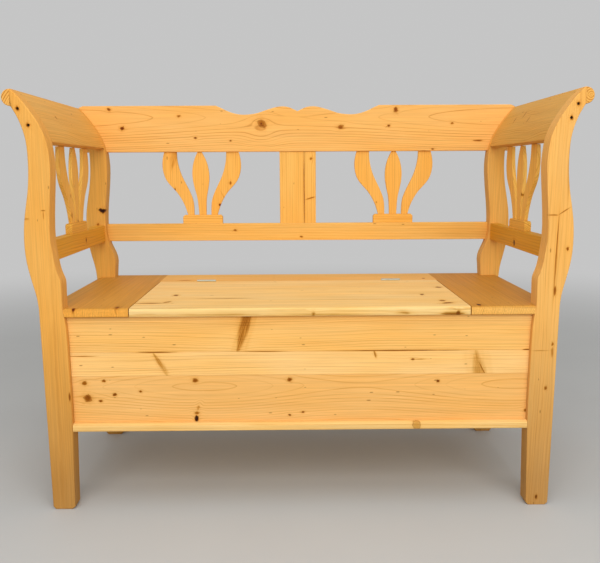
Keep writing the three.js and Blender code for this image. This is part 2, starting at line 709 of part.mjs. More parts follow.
function hinges() {
  for (const { end, start } of hingeStarts()) {
    addPiece(`${end}_hinge_fixed_leaf`, hingeLeaf(start, 1, [0, 2]), zincSteel);
    addPiece(`${end}_hinge_lid_leaf`, hingeLeaf(start, -1, [1]), zincSteel);
    const pin = barrel(PIN_RADIUS, [start, start + HINGE_LENGTH], HINGE_LINE, HINGE_HEIGHT);
    addPiece(`${end}_hinge_pin`, pin, zincSteel);
  }
}

// Chest

function frontBoards() {
  const lowerTop = CHEST_FLOOR_TOP + FRONT_LOWER_BOARD_HEIGHT;
  const middleTop = lowerTop + FRONT_MIDDLE_BOARD_HEIGHT;
  const heights = {
    lower: [CHEST_FLOOR_TOP, lowerTop],
    middle: [lowerTop, middleTop],
    upper: [middleTop, SEAT_BOTTOM],
  };
  for (const [level, [bottom, top]] of Object.entries(heights)) {
    const panel = board(
      [-LEG_MIDDLE, LEG_MIDDLE],
      [CHEST_FRONT - CHEST_PANEL_THICKNESS, CHEST_FRONT],
      [bottom + JOINT_GAP / 2, top - JOINT_GAP / 2],
    );
    addPiece(`${level}_front_board`, cut(panel, allPostRooms()), pine);
  }
}

function chestFloor() {
  const outline = noseOutline(FRONT, BACK - BACK_SETBACK, CHEST_FLOOR_BOTTOM, CHEST_FLOOR_TOP);
  const floor = endOutline(outline, [-SEAT_WIDTH / 2, SEAT_WIDTH / 2]);
  addPiece("chest_floor", cut(floor, allPostRooms()), palePine);
}

function chestBack() {
  const rear = BACK - BACK_SETBACK;
  const panel = board(
    [-LEG_MIDDLE, LEG_MIDDLE],
    [rear - CHEST_PANEL_THICKNESS, rear],
    [CHEST_FLOOR_TOP + JOINT_GAP, SEAT_BOTTOM - JOINT_GAP],
  );
  addPiece("chest_back", cut(panel, allPostRooms()), plainPine);
}

function chestEnds() {
  const outside = SEAT_WIDTH / 2 - END_SETBACK;
  for (const [end, side] of Object.entries(SIDES)) {
    const panel = board(
      [side * (outside - CHEST_PANEL_THICKNESS), side * outside],
      [FRONT + POST_DEPTH + JOINT_GAP, BACK - POST_DEPTH - JOINT_GAP],
      [CHEST_FLOOR_TOP + JOINT_GAP, SEAT_BOTTOM - JOINT_GAP],
    );
    addPiece(`${end}_chest_end`, panel, plainPine);
  }
}

posts();
screws();
armPanels();
armRolls();
sideRails();
sideSplats();
topRail();
lowerRail();
stile();
backSplats();
frontBoards();
chestFloor();
chestBack();
chestEnds();
seatBoards();
lid();
hinges();

export default bench;
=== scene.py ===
import math
from functools import partial

import bmesh
import bpy
from mathutils import Matrix, Vector


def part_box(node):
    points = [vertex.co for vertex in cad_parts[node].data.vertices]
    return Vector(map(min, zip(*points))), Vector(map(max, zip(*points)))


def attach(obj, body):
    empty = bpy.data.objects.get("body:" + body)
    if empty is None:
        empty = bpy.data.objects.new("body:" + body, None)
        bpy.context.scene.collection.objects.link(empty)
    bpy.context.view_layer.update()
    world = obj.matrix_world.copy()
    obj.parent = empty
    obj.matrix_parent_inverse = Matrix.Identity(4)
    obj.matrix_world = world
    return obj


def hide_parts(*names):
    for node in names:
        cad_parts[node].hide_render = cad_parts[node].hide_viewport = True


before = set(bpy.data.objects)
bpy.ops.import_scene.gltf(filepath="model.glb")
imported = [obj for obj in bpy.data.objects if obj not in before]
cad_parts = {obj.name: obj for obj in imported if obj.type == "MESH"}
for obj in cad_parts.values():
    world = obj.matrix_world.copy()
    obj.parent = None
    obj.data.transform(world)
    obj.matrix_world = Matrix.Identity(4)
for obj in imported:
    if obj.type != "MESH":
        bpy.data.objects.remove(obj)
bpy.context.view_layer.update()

# Front and rear posts
# The four S-shaped posts are sawn from straight pine boards 38 mm thick, so the
# grain runs upright whatever the curve does. Their edges are rounded over with a
# router and the whole bench is sanded and waxed.
POST_EDGE_RADIUS = 0.0048
SHARP_ANGLE = math.radians(32)  # flatter edges are part of a curve
MERGED_ANGLE = math.radians(0.4)  # flatter seams between triangles are no edges
BORE_EDGE = 0.0015  # edges shorter than this belong to a screw hole
SAME_CORNER = 1e-6  # corners of a mesh nearer than this are one
SAME_PLACE = 0.0005  # faces nearer than this touch, but for the gap between two pieces
PARALLEL = 0.9  # cosine over which an edge counts as running along an axis
CROSSING = 0.5  # cosine under which it counts as crossing that axis
POST_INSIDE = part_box("right_rear_post")[0][1]  # from the middle to the posts' inside faces
POST_TOP_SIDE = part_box("right_rear_post")[1][0]  # where the arm roll is glued on
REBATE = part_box("top_back_rail")[0][1]  # where the top rail lies in the rear posts
PANEL_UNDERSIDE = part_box("right_arm_panel")[0][2]
POST_YEARS = 4.6  # width of a year's growth in the posts, in millimetres
HOLE_STAIN = (5, 4, 0, 0.25)  # round the hole of a post screw, as the last four values of a knot
BROWN_KNOT = 0.16  # from this darkness on a knot has a brown heart
BLACK_KNOT = 0.64  # from this darkness on it has a black one
RIMMED_KNOT = 6  # wider knots have a dark rim
SPIKE_SHAPE = 3  # a knot longer than this many times its width was cut along
FLECK_CELL = (70, 22)  # room of one fleck along and across the grain, in millimetres
# The posts darken towards the floor, partly as painted shade and partly as the wood's own tone
FOOT_SHADE_HEIGHTS = (430.0, 60.0)  # where a post starts to darken and is darkest, in millimetres

MATHS = "ShaderNodeMath"
VECTOR = "ShaderNodeVectorMath"
MIX = "ShaderNodeMix"
NOISE = "ShaderNodeTexNoise"
RANGE = "ShaderNodeMapRange"


def colour(hex_value):
    """The linear colour that a shader takes, from an sRGB hex value."""
    channels = [int(hex_value[start:start + 2], 16) / 255 for start in (0, 2, 4)]
    return [c / 12.92 if c <= 0.04045 else ((c + 0.055) / 1.055) ** 2.4 for c in channels] + [1]


def add(tree, kind, values=(), out=0, **settings):
    """Adds a node with its settings, fills its inputs by place or name, and gives one output."""
    node = tree.nodes.new(kind)
    for key, value in settings.items():
        setattr(node, key, value)
    for socket, value in values.items() if isinstance(values, dict) else enumerate(values):
        if isinstance(value, bpy.types.NodeSocket):
            tree.links.new(value, node.inputs[socket])
        else:
            node.inputs[socket].default_value = value
    return node.outputs[out] if len(node.outputs) else node


def knot_group():
    """Grain round one knot: how far it pushes the rings aside, and where its own wood is."""
    tree = bpy.data.node_groups.new("knot", "ShaderNodeTree")
    for name, kind in {"Place": "Vector", "Centre": "Vector", "Turn": "Float", "Size": "Vector",
                       "Spike": "Float"}.items():
        tree.interface.new_socket(name, in_out="INPUT", socket_type="NodeSocket" + kind)
    for name in ("Shift", "Core", "Halo", "Rim"):
        tree.interface.new_socket(name, in_out="OUTPUT", socket_type="NodeSocketFloat")
    node = partial(add, tree)
    given = node("NodeGroupInput").node.outputs

    # How far off a point is, in shares of the knot's size. The outline is uneven, and
    # that of a knot cut along is a pointed spike.
    offset = node(VECTOR, (given["Place"], given["Centre"]), operation="SUBTRACT")
    turned = node("ShaderNodeVectorRotate", {"Vector": offset, "Angle": given["Turn"]},
                  rotation_type="Z_AXIS")
    reach = node(VECTOR, (turned, given["Size"]), operation="DIVIDE")
    rough = node(NOISE, {"Vector": node(VECTOR, (reach, given["Centre"]), operation="ADD"),
                         "Scale": 0.9, "Detail": 2.0})
    lengthwise = node("ShaderNodeSeparateXYZ", (reach,), "X")
    pointed = node(VECTOR, (node(VECTOR, (reach,), operation="ABSOLUTE"), (0, 1, 1)), "Value",
                   operation="DOT_PRODUCT")
    pointed = node(MATHS, (lengthwise, lengthwise, pointed), operation="MULTIPLY_ADD")
    reach = node(MIX, {0: given["Spike"], 2: node(VECTOR, (reach,), "Value", operation="LENGTH"),
                       3: pointed})
    uneven = node(MATHS, (reach, node(MATHS, (rough, 1.4, 0.3), operation="MULTIPLY_ADD")),
                  operation="MULTIPLY")

    # The heart, which is striped along in a spike, the stain round it and its dark rim
    core = node(MATHS, (uneven, -1.7, 1.9), operation="MULTIPLY_ADD", use_clamp=True)
    stripes = node(VECTOR, (turned, (0.03, 0.55, 0.55)), operation="MULTIPLY")
    stripes = node(NOISE, {"Vector": stripes, "Scale": 1.0, "Detail": 1.0})
    stripes = node(RANGE, (stripes, 0.35, 0.65, 0.35, 1.0))
    core = node(MATHS, (core, node(MIX, {0: given["Spike"], 2: 1.0, 3: stripes})),
                operation="MULTIPLY")
    square = node(MATHS, (uneven, uneven), operation="MULTIPLY")
    halo = node(MATHS, (node(MATHS, (square, -0.6), operation="MULTIPLY"),), operation="EXPONENT")
    edge = node(MATHS, (node(MATHS, (uneven, -0.85), operation="ADD"), 7.0), operation="MULTIPLY")
    edge = node(MATHS, (edge, edge), operation="MULTIPLY")
    rim = node(MATHS, (node(MATHS, (edge, -1.0), operation="MULTIPLY"),), operation="EXPONENT")

    # The rings swing round the knot and soon run straight again
    room = node(VECTOR, (given["Size"], (2.3, 1.5, 2.0), (4.0, 2.0, 8.0)), operation="MULTIPLY_ADD")
    away = node(VECTOR, (turned, room), operation="DIVIDE")
    away = node(VECTOR, (away, away), "Value", operation="DOT_PRODUCT")
    bend = node(MATHS, (node(MATHS, (away, -1.0), operation="MULTIPLY"),), operation="EXPONENT")
    bend = node(MATHS, (bend, node(MATHS, (given["Spike"], 0.9, -0.95), operation="MULTIPLY_ADD")),
                operation="MULTIPLY")
    across = node("ShaderNodeSeparateXYZ", (offset,), "Y")
    node("NodeGroupOutput", {"Shift": node(MATHS, (bend, across), operation="MULTIPLY"),
                             "Core": core, "Halo": halo, "Rim": rim})
    return tree


KNOT = knot_group()


def waxed_pine(name, grain, pith, ring=3.5, start=0.0, early="f8c171", late="cf9145", seed=0.0,
               knots=(), face=0.0, knot_depth=14, swell=(0.0, 0.0, 1000.0), drift=5.0, taper=0.008,
               line=0.45, contrast=0.6, uneven_years=1.2, flecks=0.12, streaks=0.36, end_grain=0.3,
               end_tone="c07f35", foot_shade_and_tone=0.0):
    """Waxed pine of one board: a clear satin wax over honey-coloured wood.

    All lengths here are in millimetres. grain names the axes along the grain, across
    the face and into the board. pith is where the tree's centre ran (across, deep).
    ring is the width of a year, start the radius of one year's end, and line the share
    of dark latewood in a year. early and late are the colours of the two, end_tone
    that of the end grain, and contrast how strongly the latewood shows.
    swell (height, middle, length) is how the trunk swelled and thinned along the
    board, which draws the arches and lenses of the grain. drift is how far the pith
    wandered, taper how fast the trunk narrowed, and uneven_years how unlike the years
    are. streaks is how much the wood's own tone changes from one fibre to the next,
    and flecks the share of the cells that hold one.
    The last argument is how far upright boards darken towards the floor, partly as painted shade and partly
    as the wood's own tone.
    A knot is (along, across, half length, half width, turn, darkness), and its depth
    where that isn't the face. knot_depth is how far it reaches into the board. Below
    zero darkness it bends the grain but doesn't show.
    """
    material = bpy.data.materials.new(name)
    material.use_nodes = True
    tree = material.node_tree
    node = partial(add, tree)
    coordinates = node("ShaderNodeTexCoord").node.outputs
    millimetres = node(VECTOR, {0: coordinates["Object"], "Scale": 1000.0}, operation="SCALE")
    axes = node("ShaderNodeSeparateXYZ", (millimetres,)).node.outputs
    along, across, deep = (axes[axis.upper()] for axis in grain)
    board = node("ShaderNodeCombineXYZ", (along, across, deep))

    def stretched(length, width, detail=1.0, out=0):
        """Noise whose spots are about length along the grain and width across, in mm."""
        scaled = node(VECTOR, (board, (1 / length, 1 / width, 1 / width)), operation="MULTIPLY")
        return node(NOISE, {"Vector": scaled, "W": seed, "Scale": 1.0, "Detail": detail}, out,
                    noise_dimensions="4D")

    # How far each point is from the pith
    wander = node(VECTOR, (stretched(300, 70, 1.5, "Color"), (0.5, 0.5, 0.5)), operation="SUBTRACT")
    from_pith = node(VECTOR, (board, (0, pith[0], pith[1])), operation="SUBTRACT")
    from_pith = node(VECTOR, (wander, (0, 2 * drift, 2 * drift), from_pith), operation="MULTIPLY_ADD")
    offset = node("ShaderNodeSeparateXYZ", (from_pith,)).node.outputs

    # Each knot pushes the rings aside and leaves its stains
    shifted, halo, core, brown, black = offset[1], 0.0, 0.0, 0.0, 0.0
    for knot_along, knot_across, half_length, half_width, turn, darkness, *deep_at in knots:
        centre = (knot_along, knot_across, deep_at[0] if deep_at else face)
        spike = 1.0 if half_length > SPIKE_SHAPE * half_width else 0.0
        knot = node("ShaderNodeGroup", {"Place": board, "Centre": centre, "Turn": math.radians(-turn),
                                        "Size": (half_length, half_width, knot_depth),
                                        "Spike": spike}, node_tree=KNOT).node
        shifted = node(MATHS, (shifted, knot.outputs["Shift"]), operation="ADD")
        if darkness < 0:
            continue
        stain = knot.outputs["Core"]
        halo = node(MATHS, (halo, node(MATHS, (knot.outputs["Halo"], min(1.0, 0.3 + 1.6 * darkness)),
                                       operation="MULTIPLY")), operation="MAXIMUM")
        core = node(MATHS, (core, node(MATHS, (stain, min(1.0, 0.5 + 1.4 * darkness)),
                                       operation="MULTIPLY")), operation="MAXIMUM")
        if darkness > BROWN_KNOT:
            heart = node(MATHS, (stain, min(1.0, 2.2 * darkness - 0.35)), operation="MULTIPLY")
            brown = node(MATHS, (brown, heart), operation="MAXIMUM")
        if half_width > RIMMED_KNOT and not spike:
            rim = node(MATHS, (knot.outputs["Rim"], 0.5), operation="MULTIPLY")
            brown = node(MATHS, (brown, rim), operation="MAXIMUM")
        if darkness > BLACK_KNOT:
            heart = node(MATHS, (stain, min(1.0, 3 * darkness - 1.9)), operation="MULTIPLY")
            black = node(MATHS, (black, heart), operation="MAXIMUM")

    # Years of uneven width, counted out from the pith
    radius = node(VECTOR, (node("ShaderNodeCombineXYZ", (shifted, offset[2])),), "Value",
                  operation="LENGTH")
    phase = node(MATHS, (along, 2 * math.pi / swell[2], -2 * math.pi * swell[1] / swell[2]),
                 operation="MULTIPLY_ADD")
    radius = node(MATHS, (node(MATHS, (phase,), operation="COSINE"), swell[0], radius),
                  operation="MULTIPLY_ADD")
    radius = node(MATHS, (along, taper, radius), operation="MULTIPLY_ADD")
    uneven = node(NOISE, {"W": node(MATHS, (radius, 3.2 * ring), operation="DIVIDE"), "Scale": 1.0,
                          "Detail": 1.0}, noise_dimensions="1D")
    rings = node(MATHS, (radius, 1 / ring, 1000 - start / ring), operation="MULTIPLY_ADD")
    rings = node(MATHS, (uneven, uneven_years, rings), operation="MULTIPLY_ADD")
    rings = node(MATHS, (stretched(45, 9), 0.3 * uneven_years, rings), operation="MULTIPLY_ADD")
    year = node("ShaderNodeTexWhiteNoise", {"W": node(MATHS, (rings,), operation="FLOOR")},
                noise_dimensions="1D")
    season = node(MATHS, (rings,), operation="FRACT")

    # A line of latewood darkens slowly and ends sharply. Where the rings are cut flat,
    # which spreads them over the face, it takes up less of the year.
    slope = node(MATHS, (node(MATHS, (shifted, radius), operation="DIVIDE"),), operation="ABSOLUTE")
    share = node(MATHS, (slope, 1.6 * line, 0.1 * line), operation="MULTIPLY_ADD")
    share = node(MATHS, (share, line), operation="MINIMUM")
    to_go = node(MATHS, (node(MATHS, (1.0, season), operation="SUBTRACT"), share), operation="DIVIDE")
    darkening = node(RANGE, (to_go, 1.0, 0.35), interpolation_type="SMOOTHSTEP")
    ending = node(RANGE, (to_go, 0.0, 0.25), interpolation_type="SMOOTHSTEP")
    latewood = node(MATHS, (darkening, ending), operation="MULTIPLY")
    latewood = node(MATHS, (latewood, node(MATHS, (year, 0.7, 0.3), operation="MULTIPLY_ADD")),
                    operation="MULTIPLY")
    faint = node(MATHS, (stretched(120, 14, 2.0), 2.0, -0.2), operation="MULTIPLY_ADD", use_clamp=True)
    latewood = node(MATHS, (latewood, faint), operation="MULTIPLY")
    fibres = stretched(60, 1.4, 2.0)
    facing = node("ShaderNodeSeparateXYZ", (coordinates["Normal"],), grain[0].upper())
    facing = node(MATHS, (node(MATHS, (facing,), operation="ABSOLUTE"), 3.0), operation="POWER")
    lines = node(MATHS, (latewood, node(MATHS, (facing, 0.8 * contrast, contrast),
                                        operation="MULTIPLY_ADD")), operation="MULTIPLY",
                 use_clamp=True)

    # The colours of the wood, which change slowly over the board and quickly between fibres
    wood = node(MIX, {0: node(MATHS, (facing, end_grain), operation="MULTIPLY"),
                      6: colour(early), 7: colour(end_tone)}, 2, data_type="RGBA")
    wood = node(MIX, {0: lines, 6: wood, 7: colour(late)}, 2, data_type="RGBA")
    warm = node(MIX, {0: 1.0, 6: wood, 7: colour("fef3d8")}, 2, data_type="RGBA", blend_type="MULTIPLY")
    tone = node(MATHS, (stretched(240, 60, 2.0), 2.4, -0.7), operation="MULTIPLY_ADD", use_clamp=True)
    wood = node(MIX, {0: tone, 6: wood, 7: warm}, 2, data_type="RGBA")
    shade = node(MATHS, (node(MATHS, (stretched(220, 3.5, 2.0), streaks, 1 - streaks / 2),
                              operation="MULTIPLY_ADD"),
                         node(MATHS, (fibres, 0.2, 0.9), operation="MULTIPLY_ADD")),
                 operation="MULTIPLY")
    wood = node(VECTOR, {0: wood, "Scale": shade}, operation="SCALE")

    # A small dark fleck in some cells of the board
    cells = node(VECTOR, (board, (1 / FLECK_CELL[0], 1 / FLECK_CELL[1], 0)), operation="MULTIPLY")
    cells = node("ShaderNodeTexVoronoi", {"Vector": cells, "Scale": 1.0},
                 voronoi_dimensions="2D").node.outputs
    kind = node("ShaderNodeSeparateColor", (cells["Color"],)).node.outputs
    fleck = node(MATHS, (cells["Distance"], node(MATHS, (kind[1], 0.07, 0.02), operation="MULTIPLY_ADD")),
                 operation="DIVIDE")
    fleck = node(MATHS, (node(RANGE, (fleck, 1.0, 0.5)), node(MATHS, (kind[0], flecks),
                                                            operation="LESS_THAN")),
                 operation="MULTIPLY")
    wood = node(MIX, {0: node(MATHS, (fleck, 0.65), operation="MULTIPLY"), 6: wood,
                      7: colour("8f5a1a")}, 2, data_type="RGBA")

    # Darkening towards the floor, partly painted shade, and the stains of the knots
    if foot_shade_and_tone:
        low = node(RANGE, (along, *FOOT_SHADE_HEIGHTS, 0.0, foot_shade_and_tone))
        wood = node(MIX, {0: low, 6: wood, 7: colour("bcb9c6")}, 2, data_type="RGBA",
                    blend_type="MULTIPLY")
    for amount, tint in ((halo, "e4ca84"), (core, "c6ac42"), (brown, "ac8a14")):
        wood = node(MIX, {0: amount, 6: wood, 7: colour(tint)}, 2, data_type="RGBA",
                    blend_type="MULTIPLY")
    wood = node(MIX, {0: black, 6: wood, 7: colour("2a0e03")}, 2, data_type="RGBA")

    # A satin wax, and fibres and latewood that stand up a little
    surface = tree.nodes["Principled BSDF"]
    tree.links.new(wood, surface.inputs["Base Color"])
    tree.links.new(node(MATHS, (fibres, 0.2, 0.48), operation="MULTIPLY_ADD"),
                   surface.inputs["Roughness"])
    surface.inputs["IOR"].default_value = 1.45
    surface.inputs["Specular IOR Level"].default_value = 0.15
    relief = node(MATHS, (latewood, 0.5, fibres), operation="MULTIPLY_ADD")
    bump = node("ShaderNodeBump", {"Height": relief, "Strength": 0.35, "Distance": 0.0003})
    tree.links.new(bump, surface.inputs["Normal"])
    return material


def finished(piece, material, body, slot, *nodes):
    """Gives a piece its material and its body, and hides the CAD nodes that it stands for."""
    piece.data.materials.clear()
    piece.data.materials.append(material)
    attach(piece, body)
    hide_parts(*nodes)


def eased(node, radius, rounded):
    """A board of the frame with some of its sawn edges rounded over.

    rounded(way, a, b, normals) gives the share of the radius for the edge from a to b,
    which runs along way between two faces with these normals.
    """
    shape = bmesh.new()
    shape.from_mesh(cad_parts[node].data)
    bmesh.ops.remove_doubles(shape, verts=shape.verts, dist=SAME_CORNER)
    bmesh.ops.dissolve_limit(shape, angle_limit=MERGED_ANGLE, verts=shape.verts, edges=shape.edges)
    weight = shape.edges.layers.float.new("bevel_weight_edge")
    for edge in shape.edges:
        if not edge.is_manifold or edge.calc_face_angle() < SHARP_ANGLE:
            continue
        edge.smooth = False
        a, b = edge.verts[0].co, edge.verts[1].co
        normals = [face.normal for face in edge.link_faces]
        share = rounded((b - a).normalized(), a, b, normals) if edge.calc_length() > BORE_EDGE else 0
        if share:
            edge[weight] = share
            edge.smooth = True
    for face in shape.faces:
        face.smooth = True
    mesh = bpy.data.meshes.new(node + "_sawn")
    shape.to_mesh(mesh)
    shape.free()
    sawn = bpy.data.objects.new(node + "_sawn", mesh)
    bpy.context.scene.collection.objects.link(sawn)
    bevel = sawn.modifiers.new("rounded edges", "BEVEL")
    bevel.limit_method = "WEIGHT"
    bevel.width = radius
    bevel.segments = 3
    normals = sawn.modifiers.new("flat faces", "WEIGHTED_NORMAL")
    normals.keep_sharp = True
    normals.weight = 100
    depsgraph = bpy.context.evaluated_depsgraph_get()
    mesh = bpy.data.meshes.new_from_object(sawn.evaluated_get(depsgraph))
    mesh.name = node + "_shape"
    piece = bpy.data.objects.new(node + "_shape", mesh)
    bpy.context.scene.collection.objects.link(piece)
    bpy.data.objects.remove(sawn)
    return piece


def post_edge(way, a, b, normals):
    """Every edge of the two faces, but for those against the arm panel, roll and top rail."""
    if abs(way.y) > CROSSING:
        return False
    outline = min(normals, key=lambda normal: abs(normal.y))
    inner = outline.x * a.x < 0
    at_panel = a.z > PANEL_UNDERSIDE and abs(abs(a.y) - POST_INSIDE) < SAME_PLACE
    at_roll = all(abs(abs(end.x) - POST_TOP_SIDE) < SAME_PLACE for end in (a, b))
    return not (inner and at_panel) and not at_roll and abs(a.y - REBATE) > SAME_PLACE


# The early wood's colour, the pith, the depth of the knots and the knots of each post
POSTS = {
    "left_front_post": ("ebaf58", (-360, -120), -242, [
        (640, -566, 8, 2, 90, 0.1), (257, -497, 11, 1.8, 0, 0.45),
        (657, -529, 5, 1.4, 90, 0.3), (648, -529, 9, 1.2, 0, 0.15)]),
    "right_front_post": ("f0b867", (700, -60), -242, [
        (642, 527, 13, 1.3, 90, 0.35), (650, 550, 14, 1.2, 57, 0.4), (552, 538, 92, 2.0, 1, 0.32),
        (482, 539, 12, 3, 0, 0.5), (349, 540, 13, 2.2, 0, 0.25), (269, 530, 4, 3, 0, 0.3),
        (659, 502, 6, 3, 0, 0.3), (735, 556, 65, 4, 0, 0.0), (571, 561, 4, 2.5, 0, 0.4),
        (366, 540, 4, 2.5, 0, 0.3), (352, 516, 20, 0.8, 90, 0.2), (19, 521, 5, 2.5, 0, 0.5)]),
    "left_rear_post": ("e1a952", (-330, 330), 204, [
        (632, -526, 6, 9, 0, 1.0), (634, -532, 4, 5, 0, 0.9), (595, -541, 4, 3, 0, 0.3)]),
    "right_rear_post": ("e9b25e", (720, 300), 204, [(717, 497, 8, 4, 0, 0.3)]),
}
for number, (post, (early, pith, face, knots)) in enumerate(POSTS.items()):
    stains = []
    for level in ("upper", "lower"):
        low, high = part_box(f"{post.removesuffix('_post')}_{level}_screw")
        middle_x, middle_z = (1000 * (low[axis] + high[axis]) / 2 for axis in (0, 2))
        stains.append((middle_z, middle_x, *HOLE_STAIN))
    pine = waxed_pine(f"waxed pine of the {post.replace('_', ' ')}", "zxy", pith, POST_YEARS,
                      early=early, late="c67e28", seed=3.0 + number, face=face, knots=knots + stains,
                      contrast=0.4, drift=8.0, uneven_years=1.8, foot_shade_and_tone=0.78)
    finished(eased(post, POST_EDGE_RADIUS, post_edge), pine, "bench", "pine", post)

# Arm panels and arm rolls
# Each arm is a curved pine panel 21 mm thick, glued up and shaped to the posts. A
# half-round strip of pine is glued on the outside of the post tops along its edge.
EASED_EDGE_RADIUS = 0.0012
ROLL_EDGE_RADIUS = 0.002
ROLL_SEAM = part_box("right_arm_roll")[0][0]  # where the rolls meet the posts and panels


def edges_along(axis):
    """The edges along one axis: 0 for X, 1 for Y and 2 for Z."""
    return lambda way, a, b, normals: abs(way[axis]) > PARALLEL


def roll_edge(way, a, b, normals):
    """The half-round outline of both ends, but for the straight part on the glued face."""
    glued = all(abs(abs(end.x) - ROLL_SEAM) < SAME_PLACE for end in (a, b))
    return abs(way.y) < CROSSING and not glued


ARMS = {
    "left": {"early": "e5ad58", "pith": (700, -300), "ring": 4.0, "swell": (4.0, 60.0, 400.0),
             "knots": [(-86, 856, 4, 3, 0, 0.5)]},
    "right": {"early": "dba856", "pith": (885, 640), "ring": 3.2, "swell": (4.0, 70.0, 260.0),
              "contrast": 1.0, "line": 0.5, "knots": [
                  (70, 852, 22, 26, 0, -1, 540), (96, 858, 10, 2, 90, 0.45, 544),
                  (42, 868, 12, 2, 90, 0.5, 551), (-18, 852, 9, 2, 90, 0.45, 540)]},
}
ROLL_PITHS = {"left": (845, -530), "right": (886, 592)}
for number, (side, grown) in enumerate(ARMS.items()):
    sign = -1 if side == "left" else 1
    panel = f"{side}_arm_panel"
    pine = waxed_pine(f"waxed pine of the {side} arm panel", "yzx", late="b87514",
                      seed=11.0 + number, face=sign * 552, **grown)
    finished(eased(panel, EASED_EDGE_RADIUS, edges_along(1)), pine, "bench", "pine", panel)
    roll = f"{side}_arm_roll"
    pine = waxed_pine(f"waxed pine of the {side} arm roll", "yzx", ROLL_PITHS[side], 4.5,
                      early="efb65e", late="b87228", seed=13.0 + number, contrast=1.0, drift=1.0,
                      end_grain=0.1)
    finished(eased(roll, ROLL_EDGE_RADIUS, roll_edge), pine, "bench", "pine", roll)

# Side rails and side splats
# A straight rail joins the two posts of each end. On it stands a tulip splat of
# three fretsawn petals 9 mm thick in a small base block, under the arm panel.
PETAL_RISE = 0.0013  # of a petal's top, so that it meets the panel's sloping underside


def fretsawn(node, across, fixed):
    """The edges of both faces, but for those at the ends, "foot" or "top", that are fixed."""
    low, high = (corner[2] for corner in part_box(node))
    levels = {"foot": low, "top": high}

    def rounded(way, a, b, normals):
        at_end = any(max(abs(a.z - levels[end]), abs(b.z - levels[end])) < SAME_PLACE for end in fixed)
        return abs(way[across]) < CROSSING and not at_end

    return rounded


# The early wood's colour and the knots of each rail, and the knots of the splat on it
ENDS = {
    "left": {"early": "e4a939", "rail": [(29, 570, 4, 5, 0, 0.5)],
             "splat": [(680, -44, 6, 1.5, 0, 0.5), (634, -43, 7, 2.5, 0, 0.6), (619, 1, 3, 3, 0, 0.5)]},
    "right": {"early": "dca030", "rail": [(-5, 561, 5, 7, 0, 0.95)],
              "splat": [(678, -15, 5, 1.8, 10, 0.4)]},
}
for number, (side, grown) in enumerate(ENDS.items()):
    sign = -1 if side == "left" else 1
    rail = f"{side}_side_rail"
    pine = waxed_pine(f"waxed pine of the {side} side rail", "yzx", (470, sign * 400), 4.5, late="b06f14",
                      early=grown["early"], seed=17.0 + number, knots=grown["rail"], face=sign * 524)
    finished(eased(rail, EASED_EDGE_RADIUS, edges_along(1)), pine, "bench", "pine", rail)
    pine = waxed_pine(f"waxed pine of the {side} side splat", "zyx", (160, sign * 700), 4.5,
                      early="f5c05f", late="bd7d20", seed=19.0 + number, knots=grown["splat"],
                      face=sign * 533)
    for part in ("first_petal", "middle_petal", "last_petal"):
        petal = f"{side}_side_splat_{part}"
        shaped = eased(petal, EASED_EDGE_RADIUS, fretsawn(petal, 0, ("foot", "top")))
        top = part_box(petal)[1][2]
        for vertex in shaped.data.vertices:
            if vertex.co.z > top - PETAL_RISE:
                vertex.co.z += PETAL_RISE
        finished(shaped, pine, "bench", "pine", petal)
    block = f"{side}_side_splat_block"
    pine = waxed_pine(f"waxed pine of the {side} side splat's block", "yzx", (520, sign * 480), 4.0,
                      early="ebb34e", late="b06f14", seed=21.0 + number, end_grain=0.1)
    shaped = eased(block, EASED_EDGE_RADIUS, fretsawn(block, 0, ("foot",)))
    finished(shaped, pine, "bench", "pine", block)

# Back rails
# The top rail is one wide board with a fretsawn scallop in the middle of its upper
# edge, let into the backs of the rear posts. A narrower rail runs under the splats.
TOP_RAIL_EDGE_RADIUS = 0.0018
pine = waxed_pine("waxed pine of the top back rail", "xzy", (877, 292), 4.0, start=68.3,
                  early="f0b96b", late="b87214", seed=23.0, face=222, swell=(6.0, -15.0, 1200.0),
                  taper=0.0, drift=0.6, uneven_years=0.15, contrast=0.65,
                  knots=[(-502, 899, 5, 4, 0, 0.45), (-469, 850, 6, 5, 0, 0.6),
                         (-317, 881, 5, 3, 0, 0.3), (-274, 824, 4, 2.5, 0, 0.6),
                         (-180, 816, 3, 2, 0, 0.6), (-96, 860, 11, 11, 0, 0.3), (-97, 861, 3, 3, 0, 0.6),
                         (-96, 845, 20, 24, 0, -1), (116, 851, 7, 6, 0, 0.3),
                         (263, 896, 6, 7, 0, 0.45), (245, 854, 4, 3, 0, 0.5), (243, 854, 9, 0.9, 35, 0.3),
                         (415, 860, 4, 3, 0, 0.3), (486, 814, 15, 2, 0, 0.6),
                         (364, 792, 4, 2, 0, 0.55)])
shaped = eased("top_back_rail", TOP_RAIL_EDGE_RADIUS, lambda way, a, b, normals:
               abs(way.y) < CROSSING)
finished(shaped, pine, "bench", "pine", "top_back_rail")
pine = waxed_pine("waxed pine of the lower back rail", "xzy", (400, 330), 6.0, early="edba66",
                  late="c8841c", seed=29.0, face=222,
                  knots=[(-172, 576, 4, 2.5, 0, 0.4), (9, 557, 4, 2.5, 0, 0.4)])
shaped = eased("lower_back_rail", EASED_EDGE_RADIUS, edges_along(0))
finished(shaped, pine, "bench", "pine", "lower_back_rail")

# Middle stile of the back
# Two pine strips glued side by side, thinner than the rails that hold them. The
# joint between them shows as a thin dark line.
STILE_EDGE_RADIUS = 0.001
STILE_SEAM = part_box("stile_right_strip")[0][0]  # where the strips meet, along X
GLUE_LINE = (688, 17.2, 130, 1.3, 0, 0.55)  # the joint, drawn as a long thin knot
